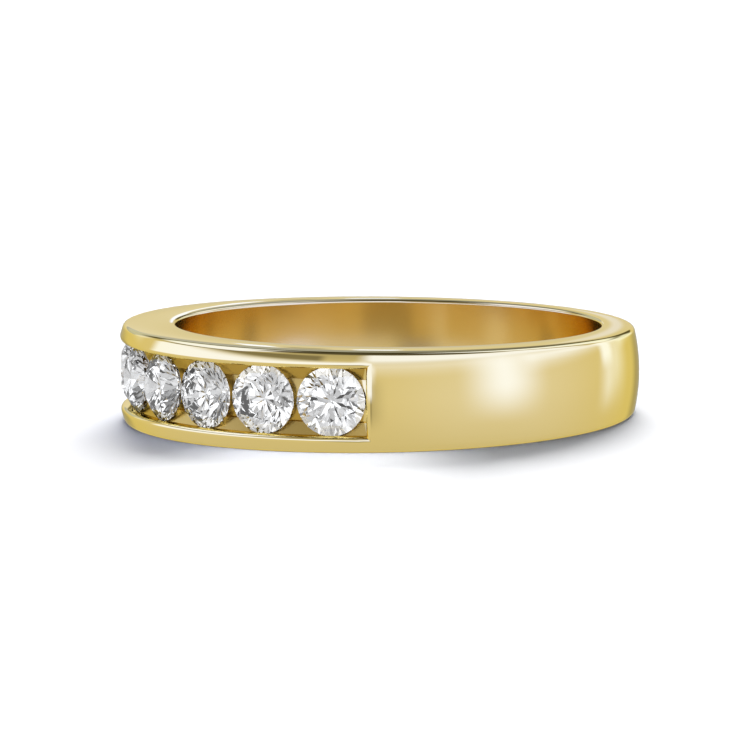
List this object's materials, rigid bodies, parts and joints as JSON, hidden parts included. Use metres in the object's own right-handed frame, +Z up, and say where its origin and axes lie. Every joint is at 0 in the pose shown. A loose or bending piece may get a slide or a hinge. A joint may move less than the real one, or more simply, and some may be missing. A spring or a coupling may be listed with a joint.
{
  "type": "channel set band",
  "caption": "Yellow gold finger ring with a domed, tapering band and a row of round brilliant stones held between two rails in a square-ended channel.",
  "frame": {"origin": "middle of the ring's overall footprint, on the surface that it lies on", "axes": "+Z up out of the finger hole, with the ring lying on one side face; the stones face -Y and the ring is mirror symmetric about X = 0"},
  "size_m": [0.0218, 0.021, 0.0041],
  "materials": {
    "gold": "14 carat yellow gold, mirror polished",
    "diamond": "colourless round brilliant, faceted and polished"
  },
  "bodies": {
    "root": {"band": "gold", "stone_1": "diamond", "stone_2": "diamond", "stone_3": "diamond", "stone_4": "diamond", "stone_5": "diamond", "stone_6": "diamond", "stone_7": "diamond"}
  },
  "joints": []
}
